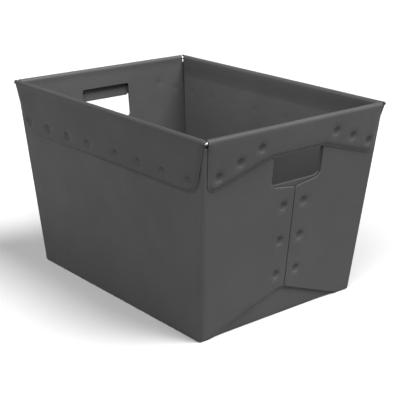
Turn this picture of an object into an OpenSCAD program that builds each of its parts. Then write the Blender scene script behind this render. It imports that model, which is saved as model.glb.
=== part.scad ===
// Open nesting tote, folded from sheet plastic round a steel wire rim.
// +X is the front end, +Y the right side, +Z up.
// The origin is the centre of the underside of the floor.

/* [Overall] */
// Length over the front and rear rim rolls
rim_l = 470; // [380:5:580]
// Width over the left and right rim rolls
rim_w = 344; // [280:2:420]
// Height to the crown of the rim
height = 298; // [240:1:370]
// Outside length at the floor
floor_l = 398; // [330:2:490]
// Outside width at the floor
floor_w = 298; // [240:2:360]

/* [Sheet and wire] */
// Thickness of the folded sheet
sheet_t = 3; // [2:0.1:3.6]
// Diameter of the rim wire
wire_d = 4; // [3.7:0.1:5]
// Centre-line radius of the wire at each rim corner
wire_bend_r = 5.6; // [4:0.1:12]
// Gap between an inner end panel and the side walls
panel_gap = 0.6; // [0.2:0.1:1.5]

/* [Rim] */
// Gap between a side wall, carried up to the wire, and its rim flap
side_stand = 0.3; // [0.1:0.1:3]
// Gap between the end flaps and the inner leg of an end rim roll
leg_gap = 0.1; // [0.05:0.05:0.5]
// Drop from the wire to where the side walls lean in to pass it
neck_drop = 30; // [15:1:50]
// Drop from the wire to where an inner end panel becomes the leg of its rim roll
end_leg_drop = 22; // [18:0.5:24]
// Drop from the rim crown to the lower edge of a side rim flap
side_flap_drop = 79.5; // [60:0.5:100]
// Corner radius of a side rim flap
side_flap_r = 28; // [10:1:45]
// From the outside of the end rims to the ends of a side flap's crown
side_flap_back = 2; // [1:0.5:6]
// How much further back each end of a side flap's lower edge lies
side_flap_taper = 24; // [0:1:30]
// Gap between the inner leg of a side rim roll and the end flaps
side_leg_gap = 2; // [1:0.1:6]
// Drop from the rim crown to the outer corners of an end rim flap
end_flap_drop = 73; // [60:1:95]
// Drop from the rim crown to an end rim flap's edge over the hand hole
grip_drop = 45.5; // [40:0.5:50]
// How far that edge runs past half the hand hole's width on each side of the middle
grip_margin = 5; // [4.5:0.5:12]
// Drop from the rim crown to the edge of the rear rim flap's tab over the hand hole
rear_tab_drop = 53.5; // [51:0.5:58]
// Half width of the rear rim flap's tab
rear_tab_half = 47.5; // [36:0.5:48]
// Distance of the tab's middle from the tote's centre plane, on the hand hole's side
rear_tab_offset = 2.5; // [0:0.5:3]
// Corner radius of the rear rim flap's tab
rear_tab_r = 7; // [2:0.5:8]
// Set-back of an end rim flap's side edge from the rim's width, at the crown
end_flap_inset = 8.6; // [6:0.1:12]
// Extra set-back of an end rim flap's side edge at its lower corner
end_flap_taper = 6; // [0:0.5:10]
// Corner radius of an end rim flap
end_flap_r = 12; // [4:1:20]

/* [Hand holes] */
// Width of a hand hole in the inner end panel
hole_w = 93; // [85:1:115]
// Drop from the rim crown to the top of a hand hole
hole_top_drop = 32.5; // [31:0.5:38]
// Drop from the rim crown to the bottom of a hand hole
hole_bottom_drop = 89; // [82:1:94]
// Lower corner radius of a hand hole
hole_r = 10; // [4:0.5:14]
// Upper corner radius of a hand hole
hole_top_r = 4; // [2:0.5:6]

/* [End flaps] */
// Distance of the butt seam from the tote's centre plane
seam_offset = 4.5; // [0:0.5:10]
// Width of the gap at the butt seam
seam_gap = 1.6; // [0.6:0.1:3]
// Distance from the seam to the side of a flap's hand cut-out
cutout_half_w = 47.5; // [42:0.5:60]
// Drop from the rim crown to the cut-out's edge at its side
cutout_side_drop = 91; // [90:0.5:100]
// Drop from the rim crown to the cut-out's edge beside the seam
cutout_seam_drop = 97.5; // [92:0.5:106]
// Corner radius of the cut-out
cutout_r = 12; // [4:0.5:16]
// Corner radius of a flap where the cut-out meets the seam
cutout_seam_r = 6; // [2:0.5:9]
// Drop from the rim crown to the top of an end flap, under the wire
end_flap_top_drop = 12; // [11:0.5:20]
// Height of the slanted lower edge at the seam
slant_h = 45; // [20:1:60]
// Distance from a floor corner to the foot of the slanted edge
slant_foot = 25; // [10:1:45]

/* [Welds] */
// Diameter of a weld nugget
weld_d = 9; // [6:0.5:11]
// Depth of the dish that the weld presses into the sheet
weld_dish = 1.2; // [0.6:0.1:1.6]
// Drop from the rim crown to the side row of welds
side_weld_drop = 62; // [50:0.5:70]
// Distance of the first side weld from the tote's centre
side_weld_first = 34.6; // [20:0.2:45]
// Pitch of the side welds
side_weld_pitch = 54; // [35:1:70]
// Least distance of a side weld from the end of the rim flap
side_weld_margin = 26; // [22:1:40]
// Distance of the outer end weld from the rim's width
end_weld_edge = 30; // [24:0.5:36]
// Drop from the rim crown to the outer end weld
end_weld_drop = 54.5; // [46:0.5:60]
// Distance of the inner end weld from the side of the hand hole
end_weld_hole_gap = 24; // [12:0.5:28]
// Drop from the rim crown to the inner end weld
end_weld_hole_drop = 27.5; // [26:0.5:34]
// Number of end welds on each side of a hand hole
end_weld_count = 3; // [2:1:4]
// Distance of a seam weld from the seam
seam_weld_offset = 19.5; // [12:0.25:30]
// Height of the lowest seam weld
seam_weld_first = 68.5; // [60:0.5:80]
// Pitch of the seam welds
seam_weld_pitch = 53; // [30:1:70]

/* [Hidden] */

sheet_colour = [0.29, 0.29, 0.30];
flap_colour = [0.32, 0.32, 0.33];
weld_colour = [0.22, 0.22, 0.23];
wire_colour = [0.72, 0.73, 0.75];

// Facets on a full circle, and on each rounded corner of an outline
round_fn = 48;
corner_steps = 8;

// The rim roll: the wire with one sheet folded over it
wire_r = wire_d / 2;
roll_r = wire_r + sheet_t;
wire_x = rim_l / 2 - roll_r;
wire_y = rim_w / 2 - roll_r;
wire_z = height - roll_r;

// Outward slope of the walls, as run over rise, and the angle it makes. An inner end
// panel runs straight up into its rim roll, so the roll sets the slope of the end walls.
leg_run = wire_x - wire_r + leg_gap - floor_l / 2;
end_slope = (leg_run + sheet_t / cos(atan((leg_run + sheet_t) / wire_z))) / wire_z;
side_slope = (wire_y + wire_r - side_stand - floor_w / 2) / wire_z;
end_tilt = atan(end_slope);
side_tilt = atan(side_slope);

// Outer face of a wall at height z, moved inwards by depth
function end_x(z, depth = 0) = floor_l / 2 + z * end_slope - depth / cos(end_tilt);
function side_y(z, depth = 0) = floor_w / 2 + z * side_slope - depth / cos(side_tilt);

// Heights shared by pieces that meet
neck_z = wire_z - neck_drop;
leg_z = wire_z - end_leg_drop;
end_flap_top = height - end_flap_top_drop;

// Rolls stop where the wire starts to bend
side_roll_half = wire_x - wire_bend_r;
end_roll_half = wire_y - wire_bend_r;
ear_gap = 0.5;

// Where the inner leg of a side rim roll ends at height z
leg_foot_half = min(side_roll_half, end_x(neck_z, sheet_t)) - side_leg_gap;
function roll_end(z) =
  leg_foot_half + (side_roll_half - leg_foot_half) * (z - neck_z) / (height - neck_z);

// Number of steps from the first side weld to the last
side_weld_last = side_roll_half - side_weld_margin;
side_weld_steps = max(0, floor((side_weld_last - side_weld_first) / side_weld_pitch));

// Top weld of a seam column keeps below the hand cut-out
seam_weld_last = height - cutout_seam_drop - 1.5 * weld_d;
seam_weld_steps = max(0, floor((seam_weld_last - seam_weld_first) / seam_weld_pitch));

// ---- Outlines ----

function unit(v) = v / norm(v);

// Points of a rounded corner at b, between its neighbours a and c
function corner(a, b, c, r) =
  let (
    to_a = unit(a - b),
    to_c = unit(c - b),
    half = acos(to_a * to_c) / 2,
    centre = b + unit(to_a + to_c) * r / sin(half),
    first = b + to_a * r / tan(half) - centre,
    last = b + to_c * r / tan(half) - centre,
    start = atan2(first[1], first[0]),
    turn = atan2(last[1], last[0]) - start,
    sweep = turn > 180 ? turn - 360 : turn < -180 ? turn + 360 : turn
  )
  [for (i = [0 : corner_steps])
    let (angle = start + sweep * i / corner_steps)
    centre + r * [cos(angle), sin(angle)]];

// Outline with each corner rounded to its own radius, 0 for a sharp one
function rounded(points, radii) =
  let (n = len(points))
  [for (i = [0 : n - 1])
    each radii[i] == 0
      ? [points[i]]
      : corner(points[(i + n - 1) % n], points[i], points[(i + 1) % n], radii[i])];

// Extrude an outline drawn in (x, z) along Y, or one drawn in (y, z) along X
module along_y(length) {
  rotate([90, 0, 0]) linear_extrude(length, center = true) children();
}

module along_x(length) {
  rotate([90, 0, 90]) linear_extrude(length, center = true) children();
}

// ---- Places ----

module mirror_side(side) {
  if (side < 0) mirror([0, 1, 0]) children();
  else children();
}

// The rear end is the front end turned half round
module turn_end(end) {
  rotate([0, 0, end < 0 ? 180 : 0]) children();
}

// A point on the outer face of the front end or right side, local Z outwards
module on_end(y, z) {
  translate([end_x(z), y, z]) rotate([0, 90 + end_tilt, 0]) children();
}

module on_side(x, z) {
  translate([x, side_y(z), z]) rotate([-90 - side_tilt, 0, 0]) children();
}

// ---- Layers of sheet ----

// One layer of a front-end wall, between two depths and two heights
module end_layer(outer, inner, z0, z1) {
  along_y(2 * rim_w) polygon([
    [end_x(z0, outer), z0],
    [end_x(z0, inner), z0],
    [end_x(z1, inner), z1],
    [end_x(z1, outer), z1]
  ]);
}

module side_layer(outer, inner, z0, z1) {
  along_x(2 * rim_l) polygon([
    [side_y(z0, outer), z0],
    [side_y(z0, inner), z0],
    [side_y(z1, inner), z1],
    [side_y(z1, outer), z1]
  ]);
}

// Section of a rim, outwards to the right: the inner leg from the wall to the wire,
// the roll over the wire and the skirt down outside the wall
module roll_crown(centre) {
  translate([centre, wire_z]) intersection() {
    difference() {
      circle(r = roll_r, $fn = round_fn);
      circle(r = wire_r, $fn = round_fn);
    }
    translate([-roll_r, 0]) square([2 * roll_r, roll_r]);
  }
}

// The half of a roll whose innermost edge is at x = from
module half_crown(centre, from) {
  intersection() {
    roll_crown(centre);
    translate([from, 0]) square([roll_r, height]);
  }
}

module inner_leg(centre, foot_inner, foot_outer, foot_z) {
  polygon([
    [centre - roll_r, wire_z],
    [centre - wire_r, wire_z],
    [foot_outer, foot_z],
    [foot_inner, foot_z]
  ]);
}

module skirt(centre, foot, tilt, foot_z) {
  polygon([
    [centre + wire_r, wire_z],
    [centre + roll_r, wire_z],
    [foot + sheet_t / cos(tilt), foot_z],
    [foot, foot_z]
  ]);
}

// ---- Floor and walls ----

module floor_panel() {
  color(sheet_colour)
  intersection() {
    along_y(rim_w) polygon([
      [-end_x(0, 2 * sheet_t), 0],
      [end_x(0, 2 * sheet_t), 0],
      [end_x(sheet_t, 2 * sheet_t), sheet_t],
      [-end_x(sheet_t, 2 * sheet_t), sheet_t]
    ]);
    along_x(rim_l) polygon([
      [-side_y(0, sheet_t), 0],
      [side_y(0, sheet_t), 0],
      [side_y(sheet_t, sheet_t), sheet_t],
      [-side_y(sheet_t, sheet_t), sheet_t]
    ]);
  }
}

// Side wall, notched for the rim roll, with an ear at each upright corner
module side_wall(side) {
  notch_top = roll_end(end_flap_top) + ear_gap;
  notch_foot = roll_end(neck_z) + ear_gap;
  color(sheet_colour)
  mirror_side(side)
  intersection() {
    side_layer(0, sheet_t, 0, end_flap_top);
    along_y(rim_w) polygon([
      [-end_x(0), 0],
      [end_x(0), 0],
      [end_x(end_flap_top), end_flap_top],
      [notch_top, end_flap_top],
      [notch_foot, neck_z],
      [-notch_foot, neck_z],
      [-notch_top, end_flap_top],
      [-end_x(end_flap_top), end_flap_top]
    ]);
  }
}

// Inner end panel with its hand hole, from the floor to the rim roll
module inner_panel(end) {
  top_half = end_roll_half - panel_gap;
  gap_z = min(leg_z - 1, (top_half - side_y(0, sheet_t) + panel_gap) / side_slope);
  color(sheet_colour)
  turn_end(end)
  difference() {
    intersection() {
      end_layer(sheet_t, 2 * sheet_t, 0, leg_z);
      along_x(rim_l) polygon([
        [-side_y(0, sheet_t) + panel_gap, 0],
        [side_y(0, sheet_t) - panel_gap, 0],
        [side_y(gap_z, sheet_t) - panel_gap, gap_z],
        [top_half, leg_z],
        [-top_half, leg_z],
        [-side_y(gap_z, sheet_t) + panel_gap, gap_z]
      ]);
    }
    hand_hole();
  }
}

module hand_hole() {
  bottom = height - hole_bottom_drop;
  top = height - hole_top_drop;
  along_x(2 * rim_l) polygon(rounded(
    [
      [seam_offset - hole_w / 2, bottom],
      [seam_offset + hole_w / 2, bottom],
      [seam_offset + hole_w / 2, top],
      [seam_offset - hole_w / 2, top]
    ],
    [hole_r, hole_r, hole_top_r, hole_top_r]
  ));
}

// End flap: the side wall carried round the upright corner to the seam
module end_flap(end, side) {
  seam = side * seam_offset + seam_gap / 2;
  cutout = side * seam_offset + cutout_half_w;
  color(flap_colour)
  turn_end(end)
  mirror_side(side)
  difference() {
    intersection() {
      end_layer(0, sheet_t, 0, end_flap_top);
      along_x(rim_l) polygon(rounded(
        [
          [side_y(0, sheet_t), 0],
          [side_y(end_flap_top, sheet_t), end_flap_top],
          [cutout, end_flap_top],
          [cutout, height - cutout_side_drop],
          [seam, height - cutout_seam_drop],
          [seam, slant_h],
          [floor_w / 2 - slant_foot, 0]
        ],
        [0, 0, 0, cutout_r, cutout_seam_r, 0, 0]
      ));
    }
    seam_weld_column(side, 1.5 * sheet_t, -sheet_t);
  }
}

// ---- Rim ----

module side_rim_flap(side) {
  edge_z = height - side_flap_drop;
  top_half = rim_l / 2 - side_flap_back;
  foot_half = top_half - side_flap_taper;
  color(flap_colour)
  mirror_side(side)
  difference() {
    union() {
      // Inner leg and inner half of the roll, clear of the end flaps
      intersection() {
        union() {
          along_x(rim_l) inner_leg(wire_y, side_y(neck_z, sheet_t), side_y(neck_z), neck_z);
          along_x(rim_l) half_crown(wire_y, wire_y - roll_r);
        }
        along_y(2 * rim_w) polygon([
          [-roll_end(neck_z), neck_z],
          [roll_end(neck_z), neck_z],
          [side_roll_half, height],
          [-side_roll_half, height]
        ]);
      }
      // Outer half of the roll and the skirt with its rounded outline
      intersection() {
        union() {
          along_x(rim_l) half_crown(wire_y, wire_y);
          along_x(rim_l) skirt(wire_y, side_y(edge_z), side_tilt, edge_z);
        }
        along_y(2 * rim_w) polygon(rounded(
          [
            [-foot_half, edge_z],
            [foot_half, edge_z],
            [top_half, height],
            [-top_half, height]
          ],
          [side_flap_r, side_flap_r, 0, 0]
        ));
      }
    }
    side_weld_row(2 * sheet_t);
  }
}

// Outline of an end rim flap's skirt, in (y, z)
module end_flap_outline() {
  corner_z = height - end_flap_drop;
  top_half = rim_w / 2 - end_flap_inset;
  low_half = top_half - end_flap_taper;
  polygon(rounded(
    [
      [top_half, height],
      [low_half, corner_z],
      [low_half - end_flap_r, corner_z],
      [hole_w / 2 + grip_margin, height - grip_drop],
      [-hole_w / 2 - grip_margin, height - grip_drop],
      [end_flap_r - low_half, corner_z],
      [-low_half, corner_z],
      [-top_half, height]
    ],
    [0, end_flap_r - 1, 0, 0, 0, 0, end_flap_r - 1, 0]
  ));
}

// Tab of the rear rim flap, which hangs over the hand hole
module rear_tab_outline() {
  top = height - grip_drop + rear_tab_r;
  polygon(rounded(
    [
      [rear_tab_half, top],
      [rear_tab_half, height - rear_tab_drop],
      [-rear_tab_half, height - rear_tab_drop],
      [-rear_tab_half, top]
    ],
    [0, rear_tab_r, rear_tab_r, 0]
  ));
}

module end_rim_flap(end) {
  corner_z = height - end_flap_drop;
  color(flap_colour)
  turn_end(end)
  difference() {
    union() {
      // Inner leg and inner half of the roll, between the side rolls
      along_y(2 * end_roll_half) {
        inner_leg(wire_x, end_x(leg_z, 2 * sheet_t), end_x(leg_z, sheet_t), leg_z);
        half_crown(wire_x, wire_x - roll_r);
      }
      // Outer half of the roll and the skirt with its rounded outline
      intersection() {
        along_y(rim_w) {
          half_crown(wire_x, wire_x);
          skirt(wire_x, end_x(corner_z), end_tilt, corner_z);
        }
        along_x(2 * rim_l) union() {
          end_flap_outline();
          if (end < 0) translate([rear_tab_offset, 0]) rear_tab_outline();
        }
      }
    }
    end_weld_rows(2 * sheet_t);
  }
}

module rim_wire() {
  x = wire_x - wire_bend_r;
  y = wire_y - wire_bend_r;
  color(wire_colour)
  translate([0, 0, wire_z])
  union() {
    for (s = [-1, 1]) {
      translate([s * wire_x, 0, 0]) rotate([90, 0, 0])
        cylinder(r = wire_r, h = 2 * y, center = true, $fn = round_fn);
      translate([0, s * wire_y, 0]) rotate([0, 90, 0])
        cylinder(r = wire_r, h = 2 * x, center = true, $fn = round_fn);
    }
    for (quarter = [0 : 3]) {
      sx = quarter == 0 || quarter == 3 ? 1 : -1;
      sy = quarter < 2 ? 1 : -1;
      translate([sx * x, sy * y, 0]) rotate([0, 0, 90 * quarter])
        rotate_extrude(angle = 90, $fn = 2 * round_fn)
        translate([wire_bend_r, 0]) circle(r = wire_r, $fn = round_fn);
    }
  }
}

// ---- Welds ----

// Discs in the outer sheet, each from base to base + length, outwards from the wall
module side_weld_row(length, base = 0) {
  z = height - side_weld_drop;
  for (s = [-1, 1], i = [0 : side_weld_steps])
    on_side(s * (side_weld_first + i * side_weld_pitch), z)
    translate([0, 0, base])
    cylinder(d = weld_d, h = length, $fn = round_fn);
}

module end_weld_rows(length, base = 0) {
  outer = rim_w / 2 - end_weld_edge;
  inner = hole_w / 2 + end_weld_hole_gap;
  for (s = [-1, 1], i = [0 : end_weld_count - 1]) {
    share = i / (end_weld_count - 1);
    y = outer + (inner - outer) * share;
    z = height - end_weld_drop + (end_weld_drop - end_weld_hole_drop) * share;
    on_end(s * y, z)
    translate([0, 0, base])
    cylinder(d = weld_d, h = length, $fn = round_fn);
  }
}

// One column of seam welds, on the right flap's side of a mirrored end
module seam_weld_column(side, length, base) {
  y = side * seam_offset + seam_weld_offset;
  for (i = [0 : seam_weld_steps])
    on_end(y, seam_weld_first + i * seam_weld_pitch)
    translate([0, 0, base])
    cylinder(d = weld_d, h = length, $fn = round_fn);
}

module side_rim_welds(side) {
  color(weld_colour)
  mirror_side(side)
  side_weld_row(sheet_t - weld_dish);
}

module end_rim_welds(end) {
  color(weld_colour)
  turn_end(end)
  end_weld_rows(sheet_t - weld_dish);
}

module seam_welds(end) {
  color(weld_colour)
  turn_end(end)
  for (side = [-1, 1])
    mirror_side(side) seam_weld_column(side, sheet_t - weld_dish, -sheet_t);
}

floor_panel();
side_wall(-1);  // left_side_wall
side_wall(1);  // right_side_wall
end_flap(1, -1);  // front_left_end_flap
end_flap(1, 1);  // front_right_end_flap
end_flap(-1, 1);  // rear_left_end_flap
end_flap(-1, -1);  // rear_right_end_flap
inner_panel(1);  // front_inner_panel
inner_panel(-1);  // rear_inner_panel
side_rim_flap(-1);  // left_rim_flap
side_rim_flap(1);  // right_rim_flap
end_rim_flap(1);  // front_rim_flap
end_rim_flap(-1);  // rear_rim_flap
rim_wire();
side_rim_welds(-1);  // left_rim_welds
side_rim_welds(1);  // right_rim_welds
end_rim_welds(1);  // front_rim_welds
end_rim_welds(-1);  // rear_rim_welds
seam_welds(1);  // front_seam_welds
seam_welds(-1);  // rear_seam_welds
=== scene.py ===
"""Looks of the open nesting tote: folded grey sheet, rolled rim flaps, weld dishes, steel wire.

Every sheet panel is a thin solid made from a flat outline. The outline is triangulated and laid
on a surface, which takes (u, v, depth) and returns points that far below the outer skin.
Pieces are drawn on the front end and the right side, then mirrored or turned to the others.
"""

import math

import bmesh
import bpy
import numpy as np
from mathutils import Matrix, Vector
from mathutils.geometry import delaunay_2d_cdt


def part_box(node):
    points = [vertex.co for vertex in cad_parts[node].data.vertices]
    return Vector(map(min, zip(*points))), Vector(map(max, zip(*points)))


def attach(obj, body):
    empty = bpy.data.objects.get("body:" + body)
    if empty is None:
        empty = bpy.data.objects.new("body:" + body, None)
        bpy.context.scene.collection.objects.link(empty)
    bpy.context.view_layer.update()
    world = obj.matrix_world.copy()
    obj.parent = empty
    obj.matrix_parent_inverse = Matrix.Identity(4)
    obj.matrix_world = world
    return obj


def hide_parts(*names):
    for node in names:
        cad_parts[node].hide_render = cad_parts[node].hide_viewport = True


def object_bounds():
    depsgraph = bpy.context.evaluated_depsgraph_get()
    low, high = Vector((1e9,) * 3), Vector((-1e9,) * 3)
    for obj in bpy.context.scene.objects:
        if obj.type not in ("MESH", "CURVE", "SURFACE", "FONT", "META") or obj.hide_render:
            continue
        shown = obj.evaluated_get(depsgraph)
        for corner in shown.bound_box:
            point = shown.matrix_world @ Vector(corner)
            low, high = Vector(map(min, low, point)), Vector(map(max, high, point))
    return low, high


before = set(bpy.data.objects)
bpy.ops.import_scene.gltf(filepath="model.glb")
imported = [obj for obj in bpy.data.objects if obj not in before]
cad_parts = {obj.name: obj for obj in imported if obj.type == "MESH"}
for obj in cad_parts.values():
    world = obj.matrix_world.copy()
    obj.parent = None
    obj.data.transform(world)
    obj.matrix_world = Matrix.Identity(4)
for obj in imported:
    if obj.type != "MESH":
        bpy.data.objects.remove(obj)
cad_lo, cad_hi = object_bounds()

MM = 0.001

# ---- Sizes read from the frame ----


def reach(node, axis, z):
    """Furthest a CAD node goes along an axis, among its vertices at height z."""
    co = np.array([v.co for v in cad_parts[node].data.vertices])
    return np.abs(co[np.abs(co[:, 2] - z) < 0.05 * MM, axis]).max()


floor_lo, floor_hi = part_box("floor_panel")
wire_lo, wire_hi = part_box("rim_wire")
side_flap_lo, side_flap_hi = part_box("right_rim_flap")
wall_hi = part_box("right_side_wall")[1]
end_flap_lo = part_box("front_rim_flap")[0]
panel_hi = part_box("front_inner_panel")[1]

SHEET = floor_hi.z - floor_lo.z
CROWN = cad_hi.z
WIRE_R = (wire_hi.z - wire_lo.z) / 2
WIRE_Z = (wire_hi.z + wire_lo.z) / 2
WIRE_X = wire_hi.x - WIRE_R
WIRE_Y = wire_hi.y - WIRE_R
ROLL_R = WIRE_R + SHEET
FLAP_TOP = wall_hi.z
LEG_Z = panel_hi.z
LEG_HALF = panel_hi.y
SIDE_EDGE_Z = side_flap_lo.z
SIDE_TOP_HALF = side_flap_hi.x
END_CORNER_Z = end_flap_lo.z
END_X0 = reach("right_side_wall", 0, 0)
END_X1 = reach("right_side_wall", 0, FLAP_TOP)
SIDE_Y0 = reach("right_side_wall", 1, 0)
SIDE_Y1 = reach("right_side_wall", 1, FLAP_TOP)

# ---- Sizes of the details; a drop is measured down from the crown of the rim ----

# Walls and folds
NECK_DROP = 30 * MM  # from the wire to where a side wall leans in to pass it
BEND_R = 4.5 * MM  # outer radius of the upright corner bends
FOLD_R = 2.6 * MM  # outer radius of the folds round the floor
EAR_GAP = 0.5 * MM  # between a side rim's roll and the ears of its wall
PANEL_GAP = 0.6 * MM  # between an inner panel and the side walls

# Rim
WIRE_BEND_R = 5.6 * MM  # centre line of the wire at a corner
SIDE_LEG_GAP = 2 * MM
SIDE_FLAP_TAPER = 24 * MM  # from a side flap's crown to its edge, at each end
SIDE_FLAP_R = 28 * MM
END_FLAP_INSET = 8.6 * MM  # from the outside of the rim to an end flap's crown
END_FLAP_TAPER = 6 * MM
END_CORNER_R = 10 * MM
END_CORNER_FLAT = 13 * MM  # level stretch of an end flap's edge at its corner
END_KNEE_R = 3 * MM  # where that stretch turns up to the grip
GRIP_HALF = 51.5 * MM
GRIP_DROP = 45.5 * MM  # to the end rim flaps' edge over the hand hole
GRIP_R = 5 * MM
TAB_DROP = 53.5 * MM  # to the edge of the rear flap's tab
TAB_HALF = 47.5 * MM
TAB_OFFSET = 2.5 * MM
TAB_R = 7 * MM

# Ends
SEAM_OFFSET = 4.5 * MM  # of the butt seam and the hand hole from the middle
SEAM_GAP = 1.6 * MM
HOLE_HALF = 46.5 * MM
HOLE_TOP_DROP = 32.5 * MM
HOLE_TOP_R = 4 * MM
HOLE_BOTTOM_DROP = 89 * MM
HOLE_BOTTOM_R = 10 * MM
CUTOUT_HALF = 47.5 * MM  # of the end flaps' cut-out round the hand hole
CUTOUT_SIDE_DROP = 91 * MM
CUTOUT_SIDE_R = 12 * MM
CUTOUT_SEAM_DROP = 97.5 * MM
CUTOUT_SEAM_R = 6 * MM
SLANT_H = 45 * MM  # height at the seam of an end flap's slanted foot
SLANT_FOOT = 25 * MM  # from the corner to where that slant meets the floor

# Welds
WELD_R = 4.5 * MM
WELD_LIP = 3.4 * MM  # width of the dished rim round a weld
WELD_EDGE_DEPTH = 1.7 * MM
WELD_DEPTH = 2.6 * MM
WELD_SEGMENTS = 28
MARK_DEPTH = 0.3 * MM  # of a weld's mark on the inside of the tote
MARK_FLAT = 0.65  # share of a mark's radius that is level
MARK_MARGIN = 6 * MM  # from the top of an inner panel to its highest mark

# Edges of the sheet
EDGE_R = 0.35 * MM  # rounding of a cut edge
PRESS = 2.4 * MM  # how far pressed cut edges are flattened
PRESSED_EDGE = 0.45 * MM  # sheet left at a pressed edge
PRESS_WIDTH = 6.5 * MM
PLAIN_WEAR = 0.3  # wear of a cut edge that isn't pressed, against one that is; the extra paleness of pressed edges is painted light that lifts the shade on their downward faces

# Mesh of a sheet piece
GRID = 9 * MM
EDGE_MARGIN = 3 * MM  # kept free of grid points along edges
CREASE_MARGIN = 2 * MM  # and along creases and dishes
EDGE_LINES = [k * MM for k in (0.18, 0.55, 1.3)]  # distances of mesh lines from a cut edge
PRESS_LINES = [k * MM for k in (0.18, 0.55, 1.3, 2.6, 4.5, 6.5)]
LIP_RINGS = (0, 0.18, 0.4, 0.65, 1)  # mesh rings, as shares of a weld's lip
MARK_RINGS = (0.35, MARK_FLAT, 0.85, 1)  # and of a mark's radius
FOLD_HEIGHTS = np.array([0.12, 0.45, 1]) * FOLD_R
FOLD_RUN = 4 * MM  # of the fold's mesh lines past the foot of a slant
MERGE_DISTANCE = 1e-7
SHARP_ANGLE = math.radians(48)

NECK_Z = WIRE_Z - NECK_DROP
END_SLOPE = (END_X1 - END_X0) / FLAP_TOP
SIDE_SLOPE = (SIDE_Y1 - SIDE_Y0) / FLAP_TOP
END_SEC = math.hypot(1, END_SLOPE)
SIDE_SEC = math.hypot(1, SIDE_SLOPE)
BEND_ARC = BEND_R * math.pi / 4  # half of a corner bend, out to the mitre


def end_x(z):
    return END_X0 + END_SLOPE * z


def side_y(z):
    return SIDE_Y0 + SIDE_SLOPE * z


def wall_half(z):
    """Half length of the flat part of a side wall."""
    return end_x(z) - BEND_R


def flap_half(z):
    """Half width of the flat part of an end."""
    return side_y(z) - BEND_R


def roll_end(z):
    """Where the inner leg of a side rim roll ends at height z."""
    top = WIRE_X - WIRE_BEND_R
    foot = min(top, end_x(NECK_Z) - SHEET * END_SEC) - SIDE_LEG_GAP
    return foot + (top - foot) * (z - NECK_Z) / (CROWN - NECK_Z)


# ---- Surfaces ----


def fold_depth(z):
    """How far the outer skin falls back where the sheet folds under at the floor."""
    up = np.clip(FOLD_R - z, 0, FOLD_R)
    return FOLD_R - np.sqrt(FOLD_R**2 - up**2)


def floor_surface(x, y, depth):
    """Floor panel, its ends leaning with the end walls."""
    rise = SHEET - depth
    return np.stack([x * (1 + rise * END_SLOPE / END_X0), y, rise], 1)


def end_surface(y, z, depth):
    """Front wall: flat, then half of the corner bend beyond it."""
    flat = flap_half(z)
    turn = np.clip(y - flat, 0, None) / BEND_R
    depth = depth * END_SEC
    x = end_x(z) - BEND_R + (BEND_R - depth) * np.cos(turn)
    across = np.minimum(y, flat) + (BEND_R - depth) * np.sin(turn)
    return np.stack([x, across, z], 1)


def side_surface(x, z, depth):
    """Right wall, with half of a corner bend at each end."""
    flat = wall_half(z)
    turn = np.clip(np.abs(x) - flat, 0, None) / BEND_R
    depth = depth * SIDE_SEC
    y = side_y(z) - BEND_R + (BEND_R - depth) * np.cos(turn)
    along = np.minimum(np.abs(x), flat) + (BEND_R - depth) * np.sin(turn)
    return np.stack([np.sign(x) * along, y, z], 1)


def inner_surface(y, z, depth):
    """Inner end panel, one sheet inside the front wall."""
    return np.stack([end_x(z) - (SHEET + depth) * END_SEC, y, z], 1)


class Rim:
    """Section of a rim as a path: up the inner leg, over the wire and down the skirt."""

    LEG_STEPS = 7
    ROLL_STEPS = 14

    def __init__(self, centre, foot, foot_z, slope, edge, edge_z):
        # Inner leg: a cubic that leaves along the wall and arrives upright at the roll
        start = np.array([foot, foot_z])
        end = np.array([centre - ROLL_R, WIRE_Z])
        length = np.linalg.norm(end - start)
        go = np.array([slope, 1]) / math.hypot(slope, 1) * length
        arrive = np.array([0, length])
        t = np.linspace(0, 1, self.LEG_STEPS + 1)[:-1, None]
        leg = (
            (2 * t**3 - 3 * t**2 + 1) * start
            + (t**3 - 2 * t**2 + t) * go
            + (3 * t**2 - 2 * t**3) * end
            + (t**3 - t**2) * arrive
        )
        # Roll: round to where the line from the skirt's edge touches it
        away = np.array([edge - centre, edge_z - WIRE_Z])
        last = math.atan2(away[1], away[0]) + math.acos(ROLL_R / np.linalg.norm(away))
        angles = np.linspace(math.pi, last, self.ROLL_STEPS + 1)
        roll_out = np.stack([np.cos(angles), np.sin(angles)], 1)
        roll = np.array([centre, WIRE_Z]) + ROLL_R * roll_out
        self.path = np.vstack([leg, roll, [[edge, edge_z]]])
        steps = np.linalg.norm(np.diff(self.path, axis=0), axis=1)
        self.s = np.concatenate([[0], np.cumsum(steps)])
        self.rows = self.s[1:-1]
        self.skirt_s, self.edge_s = self.s[-2:]
        self.crown_s = self.s[np.argmax(self.path[:, 1])]
        leg_run = np.gradient(leg, axis=0)
        leg_run[0] = go
        leg_out = np.stack([-leg_run[:, 1], leg_run[:, 0]], 1)
        leg_out /= np.linalg.norm(leg_out, axis=1)[:, None]
        self.out = np.vstack([leg_out, roll_out, roll_out[-1:]])

    def height(self, s):
        return np.interp(s, self.s, self.path[:, 1])

    def s_at(self, z):
        """Place on the skirt at height z."""
        top, low = self.path[-2, 1], self.path[-1, 1]
        return self.skirt_s + (self.edge_s - self.skirt_s) * (top - z) / (top - low)

    def press(self, s):
        """How far the cut edges of the skirt are pressed; those of the roll aren't."""
        return PRESS * (s > self.skirt_s)

    def section(self, s, depth):
        point = [np.interp(s, self.s, self.path[:, i]) for i in (0, 1)]
        out = [np.interp(s, self.s, self.out[:, i]) for i in (0, 1)]
        return point[0] - out[0] * depth, point[1] - out[1] * depth

    def on_side(self, x, s, depth):
        r, z = self.section(s, depth)
        return np.stack([x, r, z], 1)

    def on_end(self, y, s, depth):
        r, z = self.section(s, depth)
        return np.stack([r, y, z], 1)


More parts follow.
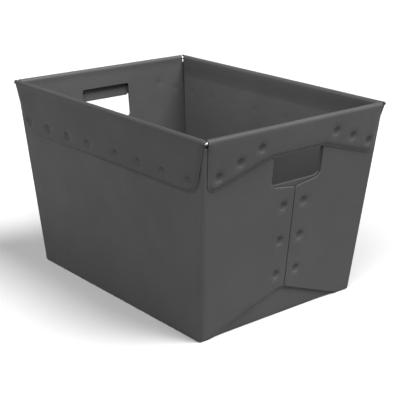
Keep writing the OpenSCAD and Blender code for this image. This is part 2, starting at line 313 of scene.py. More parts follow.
side_rim = Rim(
    WIRE_Y,
    side_y(NECK_Z) - SHEET * SIDE_SEC,
    NECK_Z,
    SIDE_SLOPE,
    side_y(SIDE_EDGE_Z) + SHEET * SIDE_SEC,
    SIDE_EDGE_Z,
)
end_rim = Rim(
    WIRE_X,
    end_x(LEG_Z) - 2 * SHEET * END_SEC,
    LEG_Z,
    END_SLOPE,
    end_x(END_CORNER_Z) + SHEET * END_SEC,
    END_CORNER_Z,
)

# ---- Outlines ----


def corner_arc(a, b, c, r, steps=9):
    """Points of a rounded corner at b, between its neighbours a and c."""
    a, b, c = (np.array(p, float) for p in (a, b, c))
    to_a = (a - b) / np.linalg.norm(a - b)
    to_c = (c - b) / np.linalg.norm(c - b)
    half = math.acos(np.clip(to_a @ to_c, -1, 1)) / 2
    bisector = (to_a + to_c) / np.linalg.norm(to_a + to_c)
    centre = b + bisector * r / math.sin(half)
    first = b + to_a * r / math.tan(half) - centre
    last = b + to_c * r / math.tan(half) - centre
    start = math.atan2(first[1], first[0])
    sweep = (math.atan2(last[1], last[0]) - start + math.pi) % (2 * math.pi) - math.pi
    angles = start + sweep * np.linspace(0, 1, steps)
    return [tuple(centre + r * np.array([math.cos(k), math.sin(k)])) for k in angles]


def outline(corners):
    """Loop of points from (u, v, radius, cut) corners, and which of its edges are cut edges.

    The cut of a corner is that of the edge that leaves it. Long edges are split evenly.
    """
    points, cuts = [], []
    for i, (u, v, r, cut) in enumerate(corners):
        after = corners[(i + 1) % len(corners)]
        arc = corner_arc(corners[i - 1][:2], (u, v), after[:2], r) if r else [(u, v)]
        points += arc
        cuts += [cut] * len(arc)
    loop, flags = [], []
    for i, p in enumerate(points):
        q = points[(i + 1) % len(points)]
        steps = max(1, math.ceil(math.dist(p, q) / GRID))
        for k in range(steps):
            loop.append((p[0] + (q[0] - p[0]) * k / steps, p[1] + (q[1] - p[1]) * k / steps))
            flags.append(cuts[i])
    return np.array(loop), np.array(flags, bool)


def mirrored(right):
    """The left half of an outline, from the corners of its right half."""
    left = [(-u, v, r, True) for u, v, r, _ in reversed(right)]
    left[-1] = (*left[-1][:3], False)
    return left


def ring(centre, radius):
    angles = np.arange(WELD_SEGMENTS) * 2 * math.pi / WELD_SEGMENTS
    return np.array(centre) + radius * np.stack([np.cos(angles), np.sin(angles)], 1)


def inset(loop, flags, distance):
    """Lines that far inside the cut edges of a loop, or outside it if distance is negative."""
    after, before = np.roll(loop, -1, 0), np.roll(loop, 1, 0)
    turn = np.sign(np.sum(loop[:, 0] * after[:, 1] - after[:, 0] * loop[:, 1]))
    go, came = after - loop, loop - before
    go /= np.linalg.norm(go, axis=1)[:, None]
    came /= np.linalg.norm(came, axis=1)[:, None]
    inward = turn * np.stack([-go[:, 1], go[:, 0]], 1)
    inward_before = turn * np.stack([-came[:, 1], came[:, 0]], 1)
    was_cut = np.roll(flags, 1)
    moved = np.empty_like(loop)
    for i in range(len(loop)):
        if flags[i] and was_cut[i]:
            mid = inward[i] + inward_before[i]
            moved[i] = loop[i] + mid * distance / max(0.3, mid @ inward[i])
        elif flags[i]:
            moved[i] = loop[i] - came[i] * distance / max(0.3, abs(inward[i] @ came[i]))
        else:
            moved[i] = loop[i] + go[i] * distance / max(0.3, abs(inward_before[i] @ go[i]))
    return list(zip(moved[flags], np.roll(moved, -1, 0)[flags]))


def gap_to(points, starts, ends):
    """Distance from each point to the nearest of some segments."""
    best = np.full(len(points), np.inf)
    for a, b in zip(starts, ends):
        d = b - a
        t = np.clip((points - a) @ d / (d @ d), 0, 1)
        best = np.minimum(best, np.linalg.norm(points - a - t[:, None] * d, axis=1))
    return best


def inside(points, loop):
    """Which points a loop encloses."""
    hit = np.zeros(len(points), bool)
    x, y = points[:, 0], points[:, 1]
    for (x0, y0), (x1, y1) in zip(loop, np.roll(loop, -1, 0)):
        if y0 != y1:
            across = (y0 > y) != (y1 > y)
            hit ^= across & (x < (x1 - x0) * (y - y0) / (y1 - y0) + x0)
    return hit


def fade(t):
    """Falls smoothly from 1 at t = 0 to 0 at t = 1."""
    t = np.clip(t, 0, 1)
    return (1 - t) ** 2 * (1 + 2 * t)


# ---- Meshes ----


def transform(side, end):
    """Places a canonical piece: mirrored for the left, turned half round for the rear."""

    def apply(co):
        co = co.copy()
        if side < 0:
            co[:, 1] *= -1
        if end < 0:
            co[:, :2] *= -1
        return co

    return apply


def finish_mesh(name, co, faces, material, edge_wear_and_light=0.0):
    """An object with smooth faces, sharp edges where it turns, and edge wear, partly painted
    light, as an attribute.
    """
    mesh = bpy.data.meshes.new(name)
    mesh.from_pydata([tuple(c) for c in co], [], faces)
    bm = bmesh.new()
    bm.from_mesh(mesh)
    bmesh.ops.recalc_face_normals(bm, faces=bm.faces)
    bm.to_mesh(mesh)
    bm.free()
    attribute = mesh.attributes.new("edge_wear_and_light", "FLOAT", "POINT")
    attribute.data.foreach_set("value", np.full(len(co), edge_wear_and_light, np.float32))
    mesh.polygons.foreach_set("use_smooth", [True] * len(mesh.polygons))
    mesh.set_sharp_from_angle(angle=SHARP_ANGLE)
    mesh.materials.append(material)
    piece = bpy.data.objects.new(name, mesh)
    bpy.context.scene.collection.objects.link(piece)
    return piece


def settle(piece, node):
    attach(piece, "root")
    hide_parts(node)


def flat_lines(loops, creases, welds, marks, edge_lines):
    """Points of the flat mesh, and the segments between them that it has to follow."""
    verts, segments = [], []

    def add_line(points, closed=False):
        first, count = len(verts), len(points)
        verts.extend(map(tuple, points))
        for k in range(count if closed else count - 1):
            segments.append((first + k, first + (k + 1) % count))

    for points, _ in loops:
        add_line(points, closed=True)
    for crease in creases:
        add_line(crease)
    for number, (points, cuts) in enumerate(loops):
        for distance in edge_lines:
            for line in inset(points, cuts, -distance if number else distance):
                add_line(line)
    for centre in welds:
        for share in LIP_RINGS:
            add_line(ring(centre, WELD_R + WELD_LIP * share), closed=True)
    for centre in marks:
        verts.append(tuple(centre))
        for share in MARK_RINGS:
            add_line(ring(centre, WELD_R * share), closed=True)
    return verts, segments


def grid_points(loops, creases, dishes, margin):
    """Even points over a flat piece, clear of its edges, creases and dishes."""
    loop = loops[0][0]
    rows = [
        np.linspace(lo, hi, max(2, math.ceil((hi - lo) / GRID)) + 1)
        for lo, hi in zip(loop.min(0), loop.max(0))
    ]
    grid = np.stack(np.meshgrid(*rows), -1).reshape(-1, 2)
    grid = grid[inside(grid, loop)]
    for points, _ in loops:
        grid = grid[gap_to(grid, points, np.roll(points, -1, 0)) > margin]
    for crease in map(np.array, creases):
        grid = grid[gap_to(grid, crease[:-1], crease[1:]) > CREASE_MARGIN]
    for centre in dishes:
        away = np.linalg.norm(grid - np.array(centre), axis=1)
        grid = grid[away > WELD_R + WELD_LIP + CREASE_MARGIN]
    return [tuple(p) for p in grid]


def flat_mesh(loops, welds, verts, segments):
    """Triangles inside the first loop, without the other loops and the weld holes."""
    made = delaunay_2d_cdt([Vector(v) for v in verts], segments, [], 0, MERGE_DISTANCE)
    uv = np.array([tuple(v) for v in made[0]])
    tris = np.array([f for f in made[2] if len(f) == 3])
    middle = uv[tris].mean(1)
    keep = inside(middle, loops[0][0])
    for hole in [points for points, _ in loops[1:]] + [ring(c, WELD_R) for c in welds]:
        keep &= ~inside(middle, hole)
    used, tris = np.unique(tris[keep], return_inverse=True)
    return uv[used], tris.reshape(-1, 3)


def skins(uv, loops, welds, marks, under, press):
    """Depths of the outer and the inner skin, and the wear along the cut edges, raised on pressed
    edges as painted light.
    """
    starts = np.vstack([points[cuts] for points, cuts in loops])
    ends = np.vstack([np.roll(points, -1, 0)[cuts] for points, cuts in loops])
    edge_gap = gap_to(uv, starts, ends)
    near, middle, far = EDGE_LINES
    rounding = np.interp(edge_gap, [0, near, EDGE_R], [EDGE_R, near, 0])
    # Pressed edges get full paleness: wear plus painted light that lifts their downward-facing
    # shade; plain cut edges keep only the wear.
    edge_wear_and_light = np.interp(edge_gap, [0, middle, far], [1, 0.6, 0]) * (1 if press else PLAIN_WEAR)
    outer, inner = rounding.copy(), SHEET - rounding
    for centre in welds:
        r = np.linalg.norm(uv - np.array(centre), axis=1)
        outer += WELD_EDGE_DEPTH * fade((r - WELD_R) / WELD_LIP)
    for centre in marks:
        r = np.linalg.norm(uv - np.array(centre), axis=1) / WELD_R
        inner -= MARK_DEPTH * fade((r - MARK_FLAT) / (1 - MARK_FLAT))
    if press:
        outer += press(uv[:, 1]) * fade(edge_gap / PRESS_WIDTH)
        outer = np.minimum(outer, inner - PRESSED_EDGE)
    if under:
        outer = outer + under(uv[:, 1])
    return outer, inner, edge_wear_and_light


def sheet_piece(
    name, surface, shape, place, material,
    creases=(), welds=(), marks=(), holes=(), under=None, press=None,
):
    """A thin solid from an outline laid on a surface.

    Welds are holes with dished rims, and marks are shallow dishes on the inner skin. At a place v
    of the outline, press(v) is how far cut edges are pressed, and under(v) is an extra depth of
    the outer skin.
    """
    loops = [shape, *holes]
    edge_lines = PRESS_LINES if press else EDGE_LINES
    margin = PRESS_WIDTH + 1 * MM if press else EDGE_MARGIN
    verts, segments = flat_lines(loops, creases, welds, marks, edge_lines)
    verts += grid_points(loops, creases, [*welds, *marks], margin)
    uv, tris = flat_mesh(loops, welds, verts, segments)
    outer, inner, edge_wear_and_light = skins(uv, loops, welds, marks, under, press)
    co = np.vstack([surface(uv[:, 0], uv[:, 1], depth) for depth in (outer, inner)])
    n = len(uv)
    pairs = np.vstack([tris[:, [0, 1]], tris[:, [1, 2]], tris[:, [2, 0]]])
    _, first, count = np.unique(
        np.sort(pairs, 1), axis=0, return_index=True, return_counts=True
    )
    rim = pairs[first[count == 1]]
    faces = [tuple(t) for t in tris.tolist()]
    faces += [(a + n, c + n, b + n) for a, b, c in tris.tolist()]
    faces += [(b, a, a + n, b + n) for a, b in rim.tolist()]
    return finish_mesh(name, place(co), faces, material, np.concatenate([edge_wear_and_light, edge_wear_and_light]))


def weld_centres(node):
    """Middle of each disc in a CAD weld node."""
    co = np.array([v.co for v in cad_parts[node].data.vertices])
    groups = []
    for p in co:
        for g in groups:
            if np.linalg.norm(g[0] - p) < 4 * WELD_R:
                g.append(p)
                break
        else:
            groups.append([p])
    return [(np.min(g, 0) + np.max(g, 0)) / 2 for g in groups]


def weld_spot(surface, u, v, step=1 * MM):
    """Frame on a surface's outer skin: origin, along u, along v and outwards."""
    us = np.array([u, u + step, u])
    vs = np.array([v, v, v + step])
    p = surface(us, vs, np.zeros(3))
    along = (p[1] - p[0]) / np.linalg.norm(p[1] - p[0])
    up = (p[2] - p[0]) / np.linalg.norm(p[2] - p[0])
    below = surface(us[:1], vs[:1], np.array([step]))[0]
    out = p[0] - below
    out -= along * (out @ along) + up * (out @ up)
    return p[0], along, up, out / np.linalg.norm(out)


def weld_piece(name, spots, place, material):
    """Fused discs, each a lathed solid with a bowl pressed in its face."""
    shares = np.array([0, 0.2, 0.4, 0.6, 0.8, 1])
    depths = WELD_DEPTH - (WELD_DEPTH - WELD_EDGE_DEPTH) * shares**2
    circles = [*zip(shares[1:] * WELD_R, depths[1:]), (WELD_R, SHEET)]
    n = WELD_SEGMENTS
    angles = np.arange(n) * 2 * math.pi / n
    co, faces = [], []
    for origin, along, up, out in spots:
        base = len(co)
        co.append(origin - out * depths[0])
        for radius, depth in circles:
            for k in angles:
                spoke = along * math.cos(k) + up * math.sin(k)
                co.append(origin + spoke * radius - out * depth)
        co.append(origin - out * SHEET)
        last = base + 1 + (len(circles) - 1) * n
        for k in range(n):
            m = (k + 1) % n
            faces.append((base, base + 1 + k, base + 1 + m))
            for a in range(base + 1, last, n):
                faces.append((a + k, a + n + k, a + n + m, a + m))
            faces.append((last + m, last + k, last + n))
    return finish_mesh(name, place(np.array(co)), faces, material)


# ---- Materials ----


class Shading:
    """Nodes of one material, with its textures laid on the object's own coordinates."""

    def __init__(self, name):
        self.material = bpy.data.materials.new(name)
        self.material.use_nodes = True
        self.nodes = self.material.node_tree.nodes
        self.links = self.material.node_tree.links
        self.shader = self.nodes["Principled BSDF"]
        self.place = self.nodes.new("ShaderNodeTexCoord").outputs["Object"]

    def feed(self, value, socket):
        """Sets a socket to a number, or links another node to it."""
        if isinstance(value, (int, float)):
            socket.default_value = value
        else:
            self.links.new(value, socket)

    def noise(self, scale, detail, rough=0.55, place=None):
        node = self.nodes.new("ShaderNodeTexNoise")
        self.feed(scale, node.inputs["Scale"])
        self.feed(detail, node.inputs["Detail"])
        self.feed(rough, node.inputs["Roughness"])
        self.feed(place or self.place, node.inputs["Vector"])
        return node.outputs["Fac"]

    def ramp(self, value, *stops):
        """Colour that runs between two (position, colour) stops."""
        node = self.nodes.new("ShaderNodeValToRGB")
        for element, (position, colour) in zip(node.color_ramp.elements, stops):
            element.position = position
            element.color = (*colour, 1)
        self.feed(value, node.inputs["Fac"])
        return node.outputs["Color"]

    def grey_ramp(self, value, *stops):
        """The same for (position, grey) stops."""
        return self.ramp(value, *((position, (grey,) * 3) for position, grey in stops))

    def mix(self, kind, factor, a, b):
        node = self.nodes.new("ShaderNodeMix")
        node.data_type = "RGBA"
        node.blend_type = kind
        self.feed(factor, node.inputs["Factor"])
        self.feed(a, node.inputs["A"])
        self.feed(b, node.inputs["B"])
        return node.outputs["Result"]

    def multiply(self, a, b):
        node = self.nodes.new("ShaderNodeMath")
        node.operation = "MULTIPLY"
        self.feed(a, node.inputs[0])
        self.feed(b, node.inputs[1])
        return node.outputs["Value"]

    def bump(self, height, strength, distance, below=None):
        node = self.nodes.new("ShaderNodeBump")
        self.feed(strength, node.inputs["Strength"])
        self.feed(distance, node.inputs["Distance"])
        self.feed(height, node.inputs["Height"])
        if below:
            self.feed(below, node.inputs["Normal"])
        return node.outputs["Normal"]


FLUTE_PITCH = 3.2 * MM
SHEET_GREY = 0.03
RIM_SHADE_GREY = 0.0265  # painted shade: the side rim flaps and the weld discs are a little darker, standing in for the flaps' skirts facing further down and for the shade in the weld bowls
WELD_SHADE_GREY = 0.027
PALE = 1.8  # how much paler scuffs and worn edges are; on pressed edges this paleness is partly painted light


def flute_waves(look, axis):
    """Waves a flute apart along an axis, barely wandering."""
    node = look.nodes.new("ShaderNodeTexWave")
    node.bands_direction = axis
    node.wave_profile = "SIN"
    look.feed(math.pi / (10 * FLUTE_PITCH), node.inputs["Scale"])
    look.feed(0.15, node.inputs["Distortion"])
    look.feed(1, node.inputs["Detail"])
    look.feed(look.place, node.inputs["Vector"])
    return node.outputs["Fac"]


def scuff_streaks(look):
    """Sparse fine streaks, askew to the sheet."""
    stretch = look.nodes.new("ShaderNodeMapping")
    stretch.inputs["Scale"].default_value = (30, 30, 420)
    stretch.inputs["Rotation"].default_value = (0.5, 0.3, 0.2)
    look.feed(look.place, stretch.inputs["Vector"])
    streaks = look.noise(1, 5, 0.5, stretch.outputs["Vector"])
    return look.grey_ramp(streaks, (0.66, 0), (0.74, 0.1))


def sheet_material(name, flute_axis, base=SHEET_GREY):
    """Satin grey polypropylene: fine grain, faint flute lines along one axis, mottling, scuffs
    and paler cut edges, partly wear and partly painted light that lifts pressed edges out of
    shade."""
    look = Shading(name)
    inputs = look.shader.inputs
    look.feed(1.49, inputs["IOR"])
    look.feed(0.1, inputs["Specular IOR Level"])
    flutes = flute_waves(look, flute_axis)

    mottle = look.grey_ramp(look.noise(9, 4), (0.3, base * 0.93), (0.7, base * 1.06))
    speckle = look.grey_ramp(look.noise(420, 2), (0.35, 0.86), (0.75, 1.1))
    colour = look.mix("MULTIPLY", 0.55, mottle, speckle)
    lines = look.grey_ramp(flutes, (0, 0.94), (1, 1.03))
    colour = look.mix("MULTIPLY", 0.6, colour, lines)
    pale = look.nodes.new("ShaderNodeRGB").outputs[0]
    pale.default_value = (base * PALE, base * PALE, base * (PALE + 0.04), 1)
    colour = look.mix("MIX", scuff_streaks(look), colour, pale)
    # Paleness of cut edges from the mesh: wear, and on pressed edges painted light as well.
    edge_wear_and_light = look.nodes.new("ShaderNodeAttribute")
    edge_wear_and_light.attribute_name = "edge_wear_and_light"
    wear_and_light_share = look.multiply(look.multiply(edge_wear_and_light.outputs["Fac"], look.noise(60, 3)), 0.8)
    look.feed(look.mix("MIX", wear_and_light_share, colour, pale), inputs["Base Color"])

    rough = look.grey_ramp(look.noise(26, 4), (0.3, 0.42), (0.72, 0.53))
    look.feed(rough, inputs["Roughness"])
    normal = look.bump(look.noise(7, 2), 0.5, 6 * MM)
    normal = look.bump(flutes, 0.5, 0.05 * MM, normal)
    normal = look.bump(look.noise(1400, 2), 0.35, 0.08 * MM, normal)
    look.feed(normal, inputs["Normal"])
    return look.material


def steel_material():
    """Drawn steel wire with a fine grain."""
    look = Shading("rim_wire_steel")
    inputs = look.shader.inputs
    look.feed(1, inputs["Metallic"])
    grain = look.noise(700, 4, 0.5)
    tint = look.ramp(grain, (0.3, (0.3, 0.3, 0.31)), (0.7, (0.46, 0.46, 0.47)))
    look.feed(tint, inputs["Base Color"])
    look.feed(look.grey_ramp(grain, (0, 0.3), (1, 0.45)), inputs["Roughness"])
    look.feed(look.bump(grain, 0.3, 0.05 * MM), inputs["Normal"])
    return look.material


side_sheet = sheet_material("sheet_side_flutes_upright", "X")
# painted shade: a darker copy of the side sheet for the side rim flaps, which face further down
# than the walls
side_rim_shaded_sheet = sheet_material("sheet_side_rim", "X", base=RIM_SHADE_GREY)
end_sheet = sheet_material("sheet_end_flutes_upright", "Y")
panel_sheet = sheet_material("sheet_flutes_level", "Z")
# painted shade: a darker copy of the sheet for the weld discs, standing in for the shade at the
# bottom of each weld bowl
weld_shaded_sheet = sheet_material("sheet_weld_painted_shade", "X", base=WELD_SHADE_GREY)
steel = steel_material()

# ---- Floor and walls ----

SIDES = {1: "right", -1: "left"}
ENDS = {1: "front", -1: "rear"}
side_welds = {side: weld_centres(f"{name}_rim_welds") for side, name in SIDES.items()}
end_welds = {end: weld_centres(f"{name}_rim_welds") for end, name in ENDS.items()}
seam_welds = {end: weld_centres(f"{name}_seam_welds") for end, name in ENDS.items()}


def fold_rows(half):
    """Level lines up the fold at the floor."""
    return [[(-half, z), (half, z)] for z in FOLD_HEIGHTS]


def bend_columns(flat):
    """Lines up a corner bend, from its tangent line to its mitre."""
    return [
        [(flat(z) + share * BEND_ARC, z) for z in (0, FLAP_TOP)]
        for share in (0, 0.25, 0.5, 0.75)
    ]


def floor_panel():
    half_x = END_X0 - 2 * SHEET * END_SEC
    half_y = SIDE_Y0 - SHEET * SIDE_SEC
    corners = [(-half_x, -half_y), (half_x, -half_y), (half_x, half_y), (-half_x, half_y)]
    shape = outline([(x, y, 0, False) for x, y in corners])
    piece = sheet_piece("floor_panel_sheet", floor_surface, shape, transform(1, 1), end_sheet)
    settle(piece, "floor_panel")


def side_wall(side):
    name = f"{SIDES[side]}_side_wall"
    low, top = wall_half(0) + BEND_ARC, wall_half(FLAP_TOP) + BEND_ARC
    notch_top, notch_foot = roll_end(FLAP_TOP) + EAR_GAP, roll_end(NECK_Z) + EAR_GAP
    shape = outline(
        [
            (low, 0, 0, False),
            (top, FLAP_TOP, 0, True),
            (notch_top, FLAP_TOP, 0, True),
            (notch_foot, NECK_Z, 0, False),
            (-notch_foot, NECK_Z, 0, True),
            (-notch_top, FLAP_TOP, 0, True),
            (-top, FLAP_TOP, 0, False),
            (-low, 0, 0, False),
        ]
    )
    columns = bend_columns(wall_half)
    columns += [[(-u, v) for u, v in line] for line in columns]
    piece = sheet_piece(
        f"{name}_sheet",
        side_surface,
        shape,
        transform(side, 1),
        side_sheet,
        creases=columns + fold_rows(low),
        marks=[(c[0], c[2]) for c in side_welds[side]],
        under=fold_depth,
    )
    settle(piece, name)


def end_flap(end, side):
    """One of the two flaps of an end; side is 1 for the one on its own right."""
    name = f"{ENDS[end]}_{SIDES[side * end]}_end_flap"
    seam = side * SEAM_OFFSET + SEAM_GAP / 2
    cutout = side * SEAM_OFFSET + CUTOUT_HALF
    foot = flap_half(0) + BEND_ARC
    slant_foot = SIDE_Y0 - SLANT_FOOT
    shape = outline(
        [
            (foot, 0, 0, False),
            (flap_half(FLAP_TOP) + BEND_ARC, FLAP_TOP, 0, True),
            (cutout, FLAP_TOP, 0, True),
            (cutout, CROWN - CUTOUT_SIDE_DROP, CUTOUT_SIDE_R, True),
            (seam, CROWN - CUTOUT_SEAM_DROP, CUTOUT_SEAM_R, True),
            (seam, SLANT_H, 0, True),
            (slant_foot, 0, 0, False),
        ]
    )
    fold = [[(slant_foot - FOLD_RUN, z), (foot, z)] for z in FOLD_HEIGHTS]
    piece = sheet_piece(
        f"{name}_sheet",
        end_surface,
        shape,
        transform(side, end),
        end_sheet,
        creases=bend_columns(flap_half) + fold,
        welds=[(abs(c[1]), c[2]) for c in seam_welds[end] if c[1] * side * end > 0],
        under=fold_depth,
        press=(lambda z: PRESS * (z < SLANT_H)) if side < 0 else None,
    )
    settle(piece, name)


def inner_panel(end):
    """Inner panel of an end, with its hand hole."""
    name = f"{ENDS[end]}_inner_panel"
    low = SIDE_Y0 - SHEET * SIDE_SEC - PANEL_GAP
    wide_z = (LEG_HALF - low) / SIDE_SLOPE
    shape = outline(
        [
            (low, 0, 0, True),
            (LEG_HALF, wide_z, 0, True),
            (LEG_HALF, LEG_Z, 0, False),
            (-LEG_HALF, LEG_Z, 0, True),
            (-LEG_HALF, wide_z, 0, True),
            (-low, 0, 0, False),
        ]
    )
    hole_top, hole_bottom = CROWN - HOLE_TOP_DROP, CROWN - HOLE_BOTTOM_DROP
    hole = outline(
        [
            (SEAM_OFFSET + HOLE_HALF, hole_top, HOLE_TOP_R, True),
            (SEAM_OFFSET - HOLE_HALF, hole_top, HOLE_TOP_R, True),
            (SEAM_OFFSET - HOLE_HALF, hole_bottom, HOLE_BOTTOM_R, True),
            (SEAM_OFFSET + HOLE_HALF, hole_bottom, HOLE_BOTTOM_R, True),
        ]
    )
    welds = seam_welds[end] + [c for c in end_welds[end] if c[2] < LEG_Z - MARK_MARGIN]
    piece = sheet_piece(
        f"{name}_sheet",
        inner_surface,
        shape,
        transform(1, end),
        panel_sheet,
        creases=fold_rows(low),
        marks=[(c[1] * end, c[2]) for c in welds],
        holes=[hole],
        under=fold_depth,
    )
    settle(piece, name)


floor_panel()
for side in SIDES:
    side_wall(side)
for end in ENDS:
    end_flap(end, 1)
    end_flap(end, -1)
    inner_panel(end)

# ---- Rim ----


def side_rim_flap(side):
    name = f"{SIDES[side]}_rim_flap"
    foot_half = SIDE_TOP_HALF - SIDE_FLAP_TAPER

    def half(s):
        z = side_rim.height(s)
        if s < side_rim.crown_s:
            return roll_end(z)
        share = (CROWN - z) / (CROWN - SIDE_EDGE_Z)
        return SIDE_TOP_HALF + (foot_half - SIDE_TOP_HALF) * share

    crown = side_rim.crown_s
    right = [(roll_end(side_rim.height(s)), s, 0, True) for s in [0, *side_rim.rows] if s <= crown]
    right += [(half(s), s, 0, True) for s in side_rim.rows if s >= crown]
    right.append((foot_half, side_rim.edge_s, SIDE_FLAP_R, True))
    piece = sheet_piece(
        f"{name}_sheet",
        side_rim.on_side,
        outline(right + mirrored(right)),
        transform(side, 1),
        side_rim_shaded_sheet,
        creases=[[(-half(s), s), (half(s), s)] for s in side_rim.rows],
        welds=[(c[0], side_rim.s_at(c[2])) for c in side_welds[side]],
        press=side_rim.press,
    )
    settle(piece, name)


def end_rim_flap(end):
    """End rim flap, raised to the grip over the hand hole; the rear one has a tab there."""
    name = f"{ENDS[end]}_rim_flap"
    leg_half = WIRE_Y - WIRE_BEND_R
    top_half = cad_hi.y - END_FLAP_INSET
    low_half = top_half - END_FLAP_TAPER
    crown, edge = end_rim.crown_s, end_rim.edge_s
    grip = end_rim.s_at(CROWN - GRIP_DROP)

    def skirt_half(s):
        share = (CROWN - end_rim.height(s)) / (CROWN - END_CORNER_Z)
        return top_half - END_FLAP_TAPER * share

    right = [(leg_half, s, 0, True) for s in [0, *end_rim.rows] if s <= crown]
    right += [(skirt_half(s), s, 0, True) for s in end_rim.rows if s >= crown]
    right += [
        (low_half, edge, END_CORNER_R, True),
        (low_half - END_CORNER_FLAT, edge, END_KNEE_R, True),
        (GRIP_HALF, grip, GRIP_R if end > 0 else 0, True),
    ]
    tab = []
    if end < 0:
        tab_s = end_rim.s_at(CROWN - TAB_DROP)
        tab = [
            (TAB_OFFSET + TAB_HALF, grip, 0, True),
            (TAB_OFFSET + TAB_HALF, tab_s, TAB_R, True),
            (TAB_OFFSET - TAB_HALF, tab_s, TAB_R, True),
            (TAB_OFFSET - TAB_HALF, grip, 0, True),
        ]
    halves = [(leg_half if s < crown else skirt_half(s), s) for s in end_rim.rows]
    piece = sheet_piece(
        f"{name}_sheet",
        end_rim.on_end,
        outline(right + tab + mirrored(right)),
        transform(1, end),
        panel_sheet,
        creases=[[(-u, s), (u, s)] for u, s in halves],
        welds=[(c[1] * end, end_rim.s_at(c[2])) for c in end_welds[end]],
        press=end_rim.press,
    )
    settle(piece, name)


def wire_path(bend_steps=11):
    """Centre line of the wire once round, as points and their outward directions."""
    x, y = WIRE_X - WIRE_BEND_R, WIRE_Y - WIRE_BEND_R
    path = []
    for quarter, (sx, sy) in enumerate(((1, 1), (-1, 1), (-1, -1), (1, -1))):
        for k in np.linspace(0, 1, bend_steps):
            angle = (quarter + k) * math.pi / 2
            out = Vector((math.cos(angle), math.sin(angle), 0))
            path.append((Vector((sx * x, sy * y, WIRE_Z)) + out * WIRE_BEND_R, out))
    return path


def rim_wire(segments=20):
    path = wire_path()
    up = Vector((0, 0, 1))
    co, faces = [], []
    for i, (centre, out) in enumerate(path):
        a, b = i * segments, (i + 1) % len(path) * segments
        for k in range(segments):
            angle = 2 * math.pi * k / segments
            co.append(centre + (out * math.cos(angle) + up * math.sin(angle)) * WIRE_R)
            m = (k + 1) % segments
            faces.append((a + k, b + k, b + m, a + m))
    settle(finish_mesh("rim_wire_ring", np.array(co), faces, steel), "rim_wire")


for side in SIDES:
    side_rim_flap(side)
for end in ENDS:
    end_rim_flap(end)
rim_wire()

# ---- Welds ----


def weld_row(node, spots, side, end):
    piece = weld_piece(node[:-1] + "_nuggets", spots, transform(side, end), weld_shaded_sheet)
    settle(piece, node)


for side, name in SIDES.items():
    spots = [weld_spot(side_rim.on_side, c[0], side_rim.s_at(c[2])) for c in side_welds[side]]
    weld_row(f"{name}_rim_welds", spots, side, 1)
for end, name in ENDS.items():
    spots = [weld_spot(end_rim.on_end, c[1] * end, end_rim.s_at(c[2])) for c in end_welds[end]]
    weld_row(f"{name}_rim_welds", spots, 1, end)
    spots = [weld_spot(end_surface, c[1] * end, c[2]) for c in seam_welds[end]]
    weld_row(f"{name}_seam_welds", spots, 1, end)

# ---- Stage ----

FLOOR_SIZE = 40.0
FLOOR_DROP = 0.2 * MM  # keeps the floor clear of the tote's underside
FLOOR_GREY = 0.255
STRIP_WIDTH = 0.06
WORLD_STRENGTH = 0.25


def studio_floor():
    mesh = bpy.data.meshes.new("studio_floor")
    r = FLOOR_SIZE / 2
    mesh.from_pydata([(-r, -r, 0), (r, -r, 0), (r, r, 0), (-r, r, 0)], [], [(0, 1, 2, 3)])
    material = bpy.data.materials.new("studio_floor_white")
    material.use_nodes = True
    shader = material.node_tree.nodes["Principled BSDF"]
    shader.inputs["Base Color"].default_value = (FLOOR_GREY, FLOOR_GREY, FLOOR_GREY, 1)
    shader.inputs["Roughness"].default_value = 0.9
    shader.inputs["Specular IOR Level"].default_value = 0.1
    mesh.materials.append(material)
    piece = bpy.data.objects.new("studio_floor", mesh)
    piece.location.z = -FLOOR_DROP
    bpy.context.scene.collection.objects.link(piece)


def hang(light, back, location=(0, 0, 0)):
    """Puts a light in the scene, turned away from the direction back."""
    lamp = bpy.data.objects.new(light.name, light)
    lamp.location = location
    lamp.rotation_mode = "QUATERNION"
    lamp.rotation_quaternion = back.to_track_quat("Z", "Y")
    bpy.context.scene.collection.objects.link(lamp)


def sun_light(name, turn, elevation, strength, spread):
    """Soft sun from a bearing of turn degrees clockwise from +X, seen from above."""
    light = bpy.data.lights.new(name, "SUN")
    light.energy = strength
    light.angle = math.radians(spread)
    turn, elevation = math.radians(turn), math.radians(elevation)
    level = math.cos(elevation)
    x, y = math.cos(turn) * level, -math.sin(turn) * level
    hang(light, Vector((x, y, math.sin(elevation))))


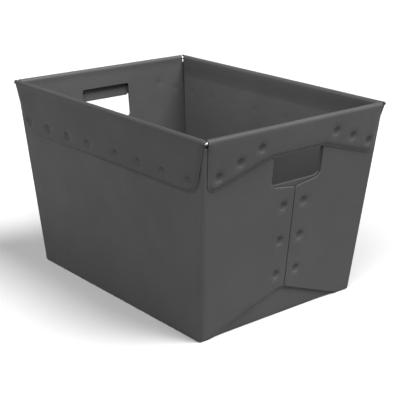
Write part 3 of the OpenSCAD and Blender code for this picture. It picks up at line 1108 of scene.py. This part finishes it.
def strip_light(name, location, target, length, power, spread):
    """Soft strip over the mouth, turned at an inner face."""
    light = bpy.data.lights.new(name, "AREA")
    light.shape = "RECTANGLE"
    light.size, light.size_y = length, STRIP_WIDTH
    light.energy = power
    light.spread = math.radians(spread)
    hang(light, Vector(location) - Vector(target), location)


def studio_world():
    world = bpy.data.worlds.new("studio")
    world.use_nodes = True
    background = world.node_tree.nodes["Background"]
    background.inputs["Color"].default_value = (1, 1, 1, 1)
    background.inputs["Strength"].default_value = WORLD_STRENGTH
    bpy.context.scene.world = world
    bpy.context.scene.view_settings.view_transform = "Standard"


studio_floor()
sun_light("front_key", -28, 60, 10.2, 30)
sun_light("side_key", 60, 46, 6.4, 40)
strip_light("side_fill", (0.0, -0.13, 0.43), (0.0, WIRE_Y, 0.27), 0.46, 0.32, 55)
strip_light("rear_fill", (0.14, -0.07, 0.42), (-WIRE_X, -0.06, 0.25), 0.2, 0.08, 50)
studio_world()

# ---- Camera ----

AZIMUTH, ELEVATION, ROLL = (math.radians(k) for k in (50.3469, 18.7583, 0.139))
DISTANCE = 1.6009
AIM = Vector((0, 0, 150 * MM))
SLIDE_RIGHT, SLIDE_UP = 12.25 * MM, -25.21 * MM  # of the camera off the line to the aim
LENS, SENSOR = 92.895, 36


def studio_camera():
    """Camera at the photo's angle, level but for a slight roll."""
    level = math.cos(ELEVATION)
    x, y = math.sin(AZIMUTH) * level, -math.cos(AZIMUTH) * level
    back = Vector((x, y, math.sin(ELEVATION)))
    level_right = (-back).cross(Vector((0, 0, 1))).normalized()
    level_up = level_right.cross(-back)
    right = level_right * math.cos(ROLL) + level_up * math.sin(ROLL)
    up = level_up * math.cos(ROLL) - level_right * math.sin(ROLL)
    data = bpy.data.cameras.new("camera")
    data.sensor_width, data.lens = SENSOR, LENS
    data.clip_start, data.clip_end = 0.05, 50
    camera = bpy.data.objects.new("camera", data)
    camera.rotation_mode = "QUATERNION"
    camera.rotation_quaternion = Matrix((right, up, back)).transposed().to_quaternion()
    camera.location = AIM + back * DISTANCE + right * SLIDE_RIGHT + up * SLIDE_UP
    bpy.context.scene.collection.objects.link(camera)
    bpy.context.scene.camera = camera


studio_camera()
